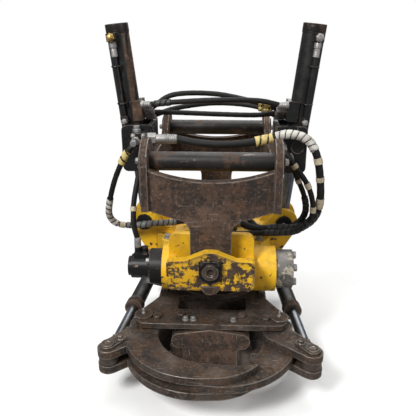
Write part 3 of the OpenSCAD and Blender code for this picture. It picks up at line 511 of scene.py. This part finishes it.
def sharpen(made, angle=38):
    """Keeps corners crisp on a smooth-shaded piece."""
    work = bmesh.new()
    work.from_mesh(made.data)
    for edge in work.edges:
        if len(edge.link_faces) == 2 and edge.calc_face_angle(0) > math.radians(angle):
            edge.smooth = False
    work.to_mesh(made.data)
    work.free()


def curve_through(points, step):
    """Evenly spaced points on a smooth curve through the given ones."""
    p = [Vector(q) for q in points]
    p = [2 * p[0] - p[1], *p, 2 * p[-1] - p[-2]]
    fine = []
    for i in range(1, len(p) - 2):
        for k in range(24):
            t = k / 24
            a, b, c, d = p[i - 1], p[i], p[i + 1], p[i + 2]
            bend = (2 * a - 5 * b + 4 * c - d) * t ** 2 + (3 * b - a - 3 * c + d) * t ** 3
            fine.append(0.5 * (2 * b + (c - a) * t + bend))
    fine.append(p[-2])
    lengths = [0.0]
    for a, b in zip(fine, fine[1:]):
        lengths.append(lengths[-1] + (b - a).length)
    count = max(2, round(lengths[-1] / step))
    out, at = [], 0
    for k in range(count + 1):
        want = lengths[-1] * k / count
        while at < len(fine) - 2 and lengths[at + 1] < want:
            at += 1
        span = lengths[at + 1] - lengths[at]
        out.append(fine[at].lerp(fine[at + 1], (want - lengths[at]) / span if span else 0))
    return out, lengths[-1]


def tube(shape, points, radius_at, step, sides=14, finish=0, gap_finish=None):
    """A tube on a smooth curve, whose radius depends on distance and angle."""
    line, length = curve_through(points, step)
    base_r = min(radius_at(0, 2 * math.pi * k / 24) for k in range(24))
    spacing = length / (len(line) - 1)

    def wound(i, k):
        return finish if radius_at(i * spacing, 2 * math.pi * k / sides) > base_r + 0.0005 else gap_finish

    u = None
    rings = []
    for i, at in enumerate(line):
        ahead = (line[min(i + 1, len(line) - 1)] - line[max(i - 1, 0)]).normalized()
        u = (u - ahead * u.dot(ahead)).normalized() if u else ahead.orthogonal().normalized()
        v = ahead.cross(u)
        s = length * i / (len(line) - 1)
        rings.append([
            at + radius_at(s, a) * (math.cos(a) * u + math.sin(a) * v)
            for a in (2 * math.pi * k / sides for k in range(sides))
        ])
    shape.ring_stack(rings, finish if gap_finish is None else wound)


def part_of(points, start, end):
    """The stretch of a route between two shares of its length."""
    line, _ = curve_through(points, 0.004)
    a, b = round(start * (len(line) - 1)), round(end * (len(line) - 1))
    return line[a:b + 1]


def spiral(r, pitch, ridge):
    def radius(s, a):
        turn = (s / pitch + a / (2 * math.pi)) % 1
        return r + ridge * (1 if turn < 0.84 else 0)
    return radius


def wrinkled(r, amount, seed):
    def radius(s, a):
        return r + amount * noise.noise(Vector((s * 160 + seed, math.cos(a) * 1.6, math.sin(a) * 1.6)))
    return radius


def metres(points):
    return [Vector(p) * MM for p in points]


# Hoses, on the same routes as the solids

SUPPLY = metres([
    (-122.5, -80, 609), (-98, -80, 609), (-40, -90, 601), (20, -94, 598), (80, -90, 601),
    (140, -84, 612), (190, -90, 626), (236, -100, 616), (262, -108, 580), (276, -108, 520),
    (282, -102, 450), (268, -94, 398), (230, -88, 368), (176, -86, 366), (124, -84, 362),
    (94, -54, 358), (78, -28, 356), (57, -28, 356),
])
LEFT_HOSES = [
    metres([
        (-200, -112.5, 608), (-200, -128, 608), (-226, -136, 570), (-254, -132, 510),
        (-276, -116, 440), (-280, -104, 400), (-262, -92, 374), (-222, -82, 366),
        (-160, -70, 368), (-110, -40, 360), (-80, -20, 356), (-57, -20, 356),
    ]),
    metres([
        (-190, -81.5, 540), (-190, -98, 540), (-196, -126, 508), (-204, -152, 450),
        (-202, -170, 400), (-194, -174, 364), (-194, -174, 342.5),
    ]),
]
RIGHT_SWIVEL = [
    metres([
        (200, -81.5, 560), (200, -98, 560), (214, -100, 524), (240, -88, 466), (250, -80, 420),
        (240, -70, 384), (208, -66, 362), (164, -62, 357), (124, -56, 357), (110, -22, 357),
        (92, 4, 357), (76, 12, 356), (57, 12, 356),
    ]),
    metres([
        (180, -81.5, 590), (180, -100, 590), (204, -118, 556), (244, -122, 500), (262, -120, 440),
        (254, -114, 396), (222, -110, 368), (176, -110, 362), (124, -110, 360), (66, -108, 357),
        (32, -94, 356), (24, -74, 356), (24, -57, 356),
    ]),
]
THIN_R, THICK_R = 7 * MM, 10 * MM
BEND_FROM, BEND_TO = (0, 0, 0.52), (0, 0, 0.40)


def plain(r):
    return lambda s, a: r + 0.00012 * math.sin(s * 1500)


def ferrule(shape, at, along, r, finish):
    """A crimped hose end with a flared collar and three crimp rings."""
    profile = [(0, r * 1.05), (0.001, r * 1.32), (0.006, r * 1.32)]
    for k in range(3):
        s = 0.008 + k * 0.005
        profile += [(s, r * 1.18), (s + 0.002, r * 1.28), (s + 0.003, r * 1.28), (s + 0.0045, r * 1.18)]
    profile += [(0.026, r * 1.2), (0.0275, r * 1.06)]
    shape.turned(profile, at, along, 20, finish)


def hose(shape, route, r, wraps=(), ends=(True, True)):
    """A hose with crimped ends and its wraps: (from, to, kind, finish number)."""
    tube(shape, route, plain(r), 0.005, 14, 0)
    if ends[0]:
        ferrule(shape, route[0], route[1] - route[0], r, 1)
    if ends[1]:
        ferrule(shape, route[-1], route[-2] - route[-1], r, 1)
    for start, end, kind, number in wraps:
        stretch = part_of(route, start, end)
        if kind == "spiral":
            tube(shape, stretch, spiral(r + 0.0004, 0.015, 0.0016), 0.0012, 16, number, 0)
        elif kind == "tape":
            tube(shape, stretch, wrinkled(r + 0.0013, 0.0008, start * 90), 0.002, 16, number)
        else:
            tube(shape, stretch, spiral(r + 0.0004, 0.021, 0.0026), 0.0015, 18, number, 0)


HOSE_FINISHES = [RUBBER, BARE, WHITE_WRAP, CREAM_TAPE, YELLOW_CLOTH, GREY_WRAP, BLACK_WRAP]
WHITE, CREAM, CLOTH, GREY, DARK = range(2, len(HOSE_FINISHES))


def swinging_hose(name, routes, r, wraps, node):
    shape = Shape()
    for number, route in enumerate(routes):
        hose(shape, route, r, wraps[number])
    made = shape.build(name, HOSE_FINISHES, None)
    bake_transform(made)
    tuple(BEND_FROM)
    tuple(BEND_TO)
    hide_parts(node)


swinging_hose("supply_hose_wrapped", [SUPPLY], THICK_R, [[
    (0.27, 0.33, "cloth", CLOTH), (0.34, 0.475, "spiral", WHITE),
    (0.50, 0.515, "tape", CREAM), (0.56, 0.575, "tape", CREAM),
    (0.63, 0.66, "tape", CREAM), (0.67, 0.86, "spiral", DARK),
]], "supply_hose")
swinging_hose("left_hoses_wrapped", LEFT_HOSES, THIN_R, [
    [
        (0.09, 0.16, "cloth", CLOTH), (0.37, 0.56, "spiral", WHITE),
        (0.57, 0.60, "tape", CREAM), (0.61, 0.88, "spiral", GREY),
    ],
    [(0.55, 0.60, "tape", CREAM)],
], "left_hoses")
swinging_hose("right_swivel_hoses_wrapped", RIGHT_SWIVEL, THIN_R, [
    [(0.16, 0.19, "tape", CREAM), (0.30, 0.54, "spiral", DARK), (0.60, 0.63, "tape", CREAM)],
    [
        (0.13, 0.155, "tape", CREAM), (0.25, 0.275, "tape", CREAM),
        (0.38, 0.41, "tape", CREAM), (0.46, 0.72, "spiral", DARK),
    ],
], "right_swivel_hoses")

# The crossover hoses are in two halves, which meet in the middle of the hanger.
# Each row is a port's y and z, how far the hose bows back and up, and its lean to one side
CROSSOVER_ROWS = [
    (-26, 690, -14, 14, 0.5), (-8, 676, 16, 38, -0.6), (10, 664, 34, -10, 0.7), (28, 652, 60, 26, 0.3),
]
HALF_BOW = [(0.58, 0.62, 0.7), (0.88, 0.03, 0.05), (1, 0, 0)]
BOW = [(-x, y, z) for x, y, z in reversed(HALF_BOW)] + [(0, 1, 1)] + HALF_BOW
TRUNNION_X, TRUNNION_Z, LEAN = 221, 585, math.atan2(24, 222)


def port_face_x(z):
    return TRUNNION_X + math.tan(LEAN) * (z - TRUNNION_Z) - 38 / math.cos(LEAN)


for side, word in ((-1, "left"), (1, "right")):
    shape = Shape()
    for number, (y, z, back, rise, lean) in enumerate(CROSSOVER_ROWS):
        end_x = port_face_x(z) - 0.8
        whole, _ = curve_through(metres([
            (b[0] * end_x, y + back * b[1], z + rise * b[2] * (1 + lean * b[0])) for b in BOW
        ]), 0.008)
        middle = len(whole) // 2
        route = whole[middle:] if side > 0 else whole[middle::-1]
        wraps = []
        if side > 0 and number in (1, 3):
            wraps = [(0.62, 0.80, "cloth", CLOTH)]
        elif side < 0 and number == 0:
            wraps = [(0.60, 0.82, "spiral", DARK)]
        hose(shape, route, THIN_R, wraps, (False, True))
    made = shape.build(f"crossover_hoses_{word}", HOSE_FINISHES, None)
    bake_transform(made)
    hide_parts("crossover_hoses")


# Welds, bolts, clips and other small ironwork

def weld(shape, points, r=0.0045, finish=0):
    """A bead of overlapping ripples along a seam."""
    def ripple(s, a):
        return r * (0.86 + 0.14 * abs(math.sin(s * 520))) + 0.0004 * noise.noise(Vector((s * 90, a, 0)))
    tube(shape, points, ripple, 0.0016, 10, finish)


def straight(a, b, count=5):
    a, b = Vector(a) * MM, Vector(b) * MM
    return [a.lerp(b, k / (count - 1)) for k in range(count)]


SIDE_PLATE_IN_X, SIDE_PLATE_OUT_X, T_PLATE_BACK_Y = 145.5, 165, 236.5
BRACKET_EDGE_Y = 40
HOUSING_TOP_Z, COLLAR_Z, ARM_TOP_Z, EAR_FOOT_X = 330, 338, 339, 117.5

hanger_welds = Shape()
for end in (-1, 1):
    for side in (-1, 1):
        x, y = side * SIDE_PLATE_IN_X, end * T_PLATE_BACK_Y
        weld(hanger_welds, straight((x, y, 480), (x, y, 568)))
        x, y = side * SIDE_PLATE_OUT_X, end * BRACKET_EDGE_Y
        weld(hanger_welds, straight((x, y, 517), (x, y, 636)), 0.004)
hanger_welds.build("hanger_welds", [RUSTY], "hanger")

ear_welds = Shape()
for side in (-1, 1):
    for y in (-46, 46):
        weld(ear_welds, straight((side * 119, y, 344), (side * 133, y, 344)), 0.004)
    x, z = side * EAR_FOOT_X, HOUSING_TOP_Z + 1
    weld(ear_welds, straight((x, -44, z), (x, 44, z)), 0.005)
for end in (-1, 1):
    for x in (-88, 88):
        weld(ear_welds, straight((x, end * 265, ARM_TOP_Z), (x, end * 180, ARM_TOP_Z)), 0.004)
ear_welds.build("tilt_body_welds", [YELLOW], "tilt_body")


def bolt(shape, at, along, across=0.018, height=0.011, finish=0):
    """A hexagon head on a washer, with the shank's chamfered end showing."""
    a = Vector(along).normalized()
    at = Vector(at) * MM
    shape.turned([(0, across * 0.74), (0.0022, across * 0.74), (0.0026, across * 0.70)], at, a, 24, finish)
    shape.hexagon(across, height, at + a * 0.0024, a, finish, dice.uniform(0, 1))
    shape.turned([(0, across * 0.36), (0.0012, across * 0.34)], at + a * (height + 0.002), a, 18, finish)


NIPPLE_PROFILE = [
    (0.005, 0.0034), (0.008, 0.003), (0.010, 0.0022), (0.012, 0.0034), (0.015, 0.0026), (0.0165, 0.001),
]


def grease_nipple(shape, at, along, finish=0):
    a = Vector(along).normalized()
    at = Vector(at) * MM
    shape.hexagon(0.010, 0.005, at, a, finish)
    shape.turned(NIPPLE_PROFILE, at, a, 14, finish)


def bolt_circle(r, count):
    for k in range(count):
        a = 2 * math.pi * (k + 0.5) / count
        yield r * math.cos(a), r * math.sin(a)


RETAINER_Y, RETAINER_BOLT_Z = 299, 356
BRACKET_BACK_X, SIDE_CAP_X, HITCH_PIN_Y, HITCH_PIN_Z = 174, 170, 215, 585

body_bolts = Shape()
for x, y in bolt_circle(152, 16):
    on_ear = abs(y) < 62 and abs(x) > 100
    on_arm = abs(y) > 90 and abs(x) < 108
    on_worm_tube = y < -130
    if not (on_ear or on_arm or on_worm_tube):
        bolt(body_bolts, (x, y, HOUSING_TOP_Z), (0, 0, 1), 0.015, 0.009)
for x, y in bolt_circle(56, 8):
    bolt(body_bolts, (x, y, COLLAR_Z), (0, 0, 1), 0.011, 0.007)
for end in (-1, 1):
    for x in (-20, 20):
        bolt(body_bolts, (x, end * RETAINER_Y, RETAINER_BOLT_Z), (0, end, 0), 0.009, 0.005, 1)
for side in (-1, 1):
    grease_nipple(body_bolts, (side * 196, -51.5, 363), (0, -1, 0))
body_bolts.build("tilt_body_bolts", [BARE, OILED], "tilt_body")

hanger_bolts = Shape()
for side in (-1, 1):
    for y in (-21.6, 21.6):
        for z in (530, 625):
            bolt(hanger_bolts, (side * BRACKET_BACK_X, y, z), (side, 0, 0), 0.013, 0.003)
    for y in (-HITCH_PIN_Y, HITCH_PIN_Y):
        bolt(hanger_bolts, (side * SIDE_CAP_X, y, HITCH_PIN_Z), (side, 0, 0), 0.014, 0.008)
for x, z in ((-206, 598), (-206, 620), (-180, 620), (-180, 598)):
    bolt(hanger_bolts, (x, -100, z), (0, -1, 0), 0.008, 0.004)
hanger_bolts.build("hanger_bolts", [BARE], "hanger")


# Tilt cylinder dress: dark end caps, pipe clips, hose nuts

def at_barrel(side, x, y, z):
    """A point in a leaning barrel's own frame, in the shared frame."""
    lean = Matrix.Rotation(LEAN, 4, "Y") @ Vector((x, y, z))
    p = lean + Vector((TRUNNION_X, 0, TRUNNION_Z))
    return Vector((side * p.x, p.y, p.z))


def along_barrel(side, direction):
    d = Matrix.Rotation(LEAN, 4, "Y") @ Vector(direction)
    return Vector((side * d.x, d.y, d.z))


PIPE_X, PIPE_Y = 10, -36
CAP_PROFILE = [
    (0, 0.0296), (0.0012, 0.0301), (0.0195, 0.0301), (0.0208, 0.0290), (0.0212, 0.0150), (0.0206, 0.0060),
]
SLEEVE_PROFILE = [
    (0, 0.0062), (0.001, 0.0082), (0.018, 0.0082), (0.019, 0.0076),
    (0.022, 0.0076), (0.023, 0.0094), (0.036, 0.0094), (0.0375, 0.0084),
]

for side, word in ((-1, "left"), (1, "right")):
    up = along_barrel(side, (0, 0, 1))
    cap = Shape()
    cap.turned(
        CAP_PROFILE, at_barrel(side, 0, 0, 287.4) * MM, up, 40,
    )
    turn = [2 * math.pi * k / 32 for k in range(33)]
    ring = [at_barrel(side, 27.4 * math.cos(a), 27.4 * math.sin(a), 286) * MM for a in turn]
    weld(cap, ring, 0.0026)
    cap.build(f"{word}_barrel_cap", [OILED], f"{word}_tilt_barrel")

    trim = Shape()
    for z in (110, 205):
        half_turn = [math.pi * k / 8 + math.pi for k in range(9)]
        strap = [(11 * math.cos(a) + PIPE_X, 9 * math.sin(a) + PIPE_Y) for a in half_turn]
        line = [at_barrel(side, x, y, z) * MM for x, y in [(-4, -27), *strap, (24, -24)]]
        tube(trim, line, lambda s, a: 0.0022, 0.003, 8, 0)
    nut_at = at_barrel(side, PIPE_X, -47, 276) * MM
    trim.hexagon(0.019, 0.008, nut_at, (0, -1, 0), 1)
    trim.turned([(0.008, 0.0072), (0.011, 0.0068), (0.0125, 0.0045)], nut_at, (0, -1, 0), 20, 1)
    trim.turned(SLEEVE_PROFILE, at_barrel(side, PIPE_X, PIPE_Y, 228) * MM, up, 24, 2)
    low = at_barrel(side, PIPE_X, -45, 64) * MM
    trim.hexagon(0.015, 0.009, low, (0, -1, 0), 2)
    trim.turned([(0.009, 0.0050), (0.012, 0.0050), (0.013, 0.0040)], low, (0, -1, 0), 18, 2)
    for y, z, *_ in CROSSOVER_ROWS:
        port = Vector((side * (port_face_x(z) + 1), y, z)) * MM
        trim.turned([(0, 0.0102), (0.006, 0.0102), (0.007, 0.0085)], port, (-side, 0, 0), 18, 2)
    finishes = [RUBBED, BRASS if side < 0 else BARE, BARE]
    trim.build(f"{word}_barrel_fittings", finishes, f"{word}_tilt_barrel")


# Gripper dress: brown gland collars, lug bolts, grease nipples

GRIP_REAR, GRIP_LUG = Vector((206, 150, 119)), Vector((248, -339, 119))
GRIP_AXIS = (GRIP_LUG - GRIP_REAR).normalized()
LUG_TOP_Z = 157
GLAND_PROFILE = [
    (0.2335, 0.0228), (0.235, 0.0262), (0.243, 0.0262), (0.2445, 0.0258), (0.2465, 0.0258), (0.248, 0.0264),
    (0.2615, 0.0264), (0.2632, 0.0250), (0.2636, 0.0146),
]
for side, word in ((-1, "left"), (1, "right")):
    flip = Vector((side, 1, 1))
    gland = Shape()
    gland.turned(GLAND_PROFILE, GRIP_REAR * flip * MM, GRIP_AXIS * flip, 36)
    gland.build(f"{word}_grip_gland", [RUSTY], f"{word}_grip_barrel")
    lug = Shape()
    bolt(lug, (side * 223, -317, LUG_TOP_Z), (0, 0, 1), 0.013, 0.007)
    washer = [(0, 0.0165), (0.003, 0.0165), (0.004, 0.0155), (0.0042, 0.006), (0.003, 0.005)]
    lug.turned(washer, Vector((side * GRIP_LUG.x, GRIP_LUG.y, LUG_TOP_Z)) * MM, (0, 0, 1), 28)
    lug.build(f"{word}_lug_bolts", [WORN], f"{word}_finger")


def slab(shape, low, high, chamfer=0.002, finish=0):
    """A box with chamfered upright edges."""
    (x0, y0, z0), (x1, y1, z1) = Vector(low) * MM, Vector(high) * MM
    c = chamfer
    outline = [
        (x0 + c, y0), (x1 - c, y0), (x1, y0 + c), (x1, y1 - c),
        (x1 - c, y1), (x0 + c, y1), (x0, y1 - c), (x0, y0 + c),
    ]
    middle = Vector(((x0 + x1) / 2, (y0 + y1) / 2))
    inner = [middle + (Vector(q) - middle) * (1 - c / min(x1 - x0, y1 - y0)) for q in outline]
    rings = [[Vector((x, y, z0)) for x, y in inner]]
    rings += [[Vector((x, y, z)) for x, y in outline] for z in (z0 + c, z1 - c)]
    rings.append([Vector((x, y, z1)) for x, y in inner])
    shape.ring_stack(rings, finish)


SKIRT_BACK_Y = -239
PIN_TOP_Z, CASSETTE_TOP_Z = 176, 170

skirt = Shape()
for side in (-1, 1):
    low_x, high_x = sorted((69.5 * side, 108 * side))
    slab(skirt, (low_x, -250, 30), (high_x, SKIRT_BACK_Y, 98))
    slab(skirt, (low_x, -256, 26), (high_x, SKIRT_BACK_Y, 36))
    weld(skirt, straight((side * 70, -252, 37), (side * 70, -252, 97)), 0.0035)
skirt.build("hitch_skirt", [WORN], "rotor")

rotor_trim = Shape()
for side in (-1, 1):
    grease_nipple(rotor_trim, (side * 177, -229, PIN_TOP_Z), (0, 0, 1))
    grease_nipple(rotor_trim, (side * GRIP_REAR.x, GRIP_REAR.y, PIN_TOP_Z), (0, 0, 1))
for x in (-66, -46, 58):
    bolt(rotor_trim, (x, -244, CASSETTE_TOP_Z), (0, 0, 1), 0.012, 0.007)
rotor_trim.build("cassette_nipples", [BARE], "rotor")


# Camera, light and floor

SENSOR_W = 36
PHOTO_W_PX, FOCAL_PX = 416, 500


def look(position, target, lens):
    data = bpy.data.cameras.new("photo_camera")
    data.sensor_width = SENSOR_W
    data.lens = lens
    cam = bpy.data.objects.new("photo_camera", data)
    cam.location = position
    cam.rotation_euler = (Vector(target) - Vector(position)).to_track_quat("-Z", "Y").to_euler()
    scene.collection.objects.link(cam)
    scene.camera = cam


look((0.04, -1.36, 0.885), (-0.018, 0, 0.39), SENSOR_W * FOCAL_PX / PHOTO_W_PX)


def lamp(name, position, target, size, power):
    data = bpy.data.lights.new(name, "AREA")
    data.size = size
    data.energy = power
    made = bpy.data.objects.new(name, data)
    made.location = position
    made.rotation_euler = (Vector(target) - Vector(position)).to_track_quat("-Z", "Y").to_euler()
    scene.collection.objects.link(made)


lamp("key_panel", (-1.3, -2.1, 2.5), (0, 0, 0.4), 0.8, 98)
lamp("fill_panel", (2.2, -1.6, 1.4), (0, 0, 0.4), 1.4, 20)
lamp("top_panel", (0.2, 0.6, 2.8), (0, 0, 0.3), 1.8, 46)
lamp("rear_panel", (0.3, 2.6, 1.7), (0, 0, 0.4), 2.0, 30)

class Sky(Finish):
    """The nodes of the world, wired like those of a finish."""

    def __init__(self, tree):
        self.tree = tree


SKY_LIGHT = 0.23
world = bpy.data.worlds.new("studio")
scene.world = world
world.use_nodes = True
background = world.node_tree.nodes["Background"]
background.inputs["Color"].default_value = (1, 1, 1, 1)
sky = Sky(world.node_tree)
seen = sky.add("ShaderNodeLightPath", {}, {}, "Is Camera Ray")
strength = seen * (1 - SKY_LIGHT) + SKY_LIGHT
world.node_tree.links.new(strength.socket, background.inputs["Strength"])


def pale_floor():
    """A pale floor that fades into the white round it."""
    f = Finish("pale_floor")
    away = f.add("ShaderNodeVectorMath", {"operation": "LENGTH"}, {0: f.place}, "Value")
    f.finish((0.93, 0.93, 0.925, 1), 0.9)
    clear = f.add("ShaderNodeBsdfTransparent", {}, {})
    own = Wire(f, f.shader.outputs[0])
    both = f.add("ShaderNodeMixShader", {}, {0: away.over(0.3, 0.75), 1: own, 2: clear})
    f.tree.links.new(both.socket, f.tree.nodes["Material Output"].inputs["Surface"])
    return f.material


floor_mesh = bpy.data.meshes.new("floor")
floor_mesh.from_pydata([(-2, -2, 0), (2, -2, 0), (2, 2, 0), (-2, 2, 0)], [], [(0, 1, 2, 3)])
floor_mesh.materials.append(pale_floor())
floor = bpy.data.objects.new("floor", floor_mesh)
floor.location.z = -0.0004
scene.collection.objects.link(floor)
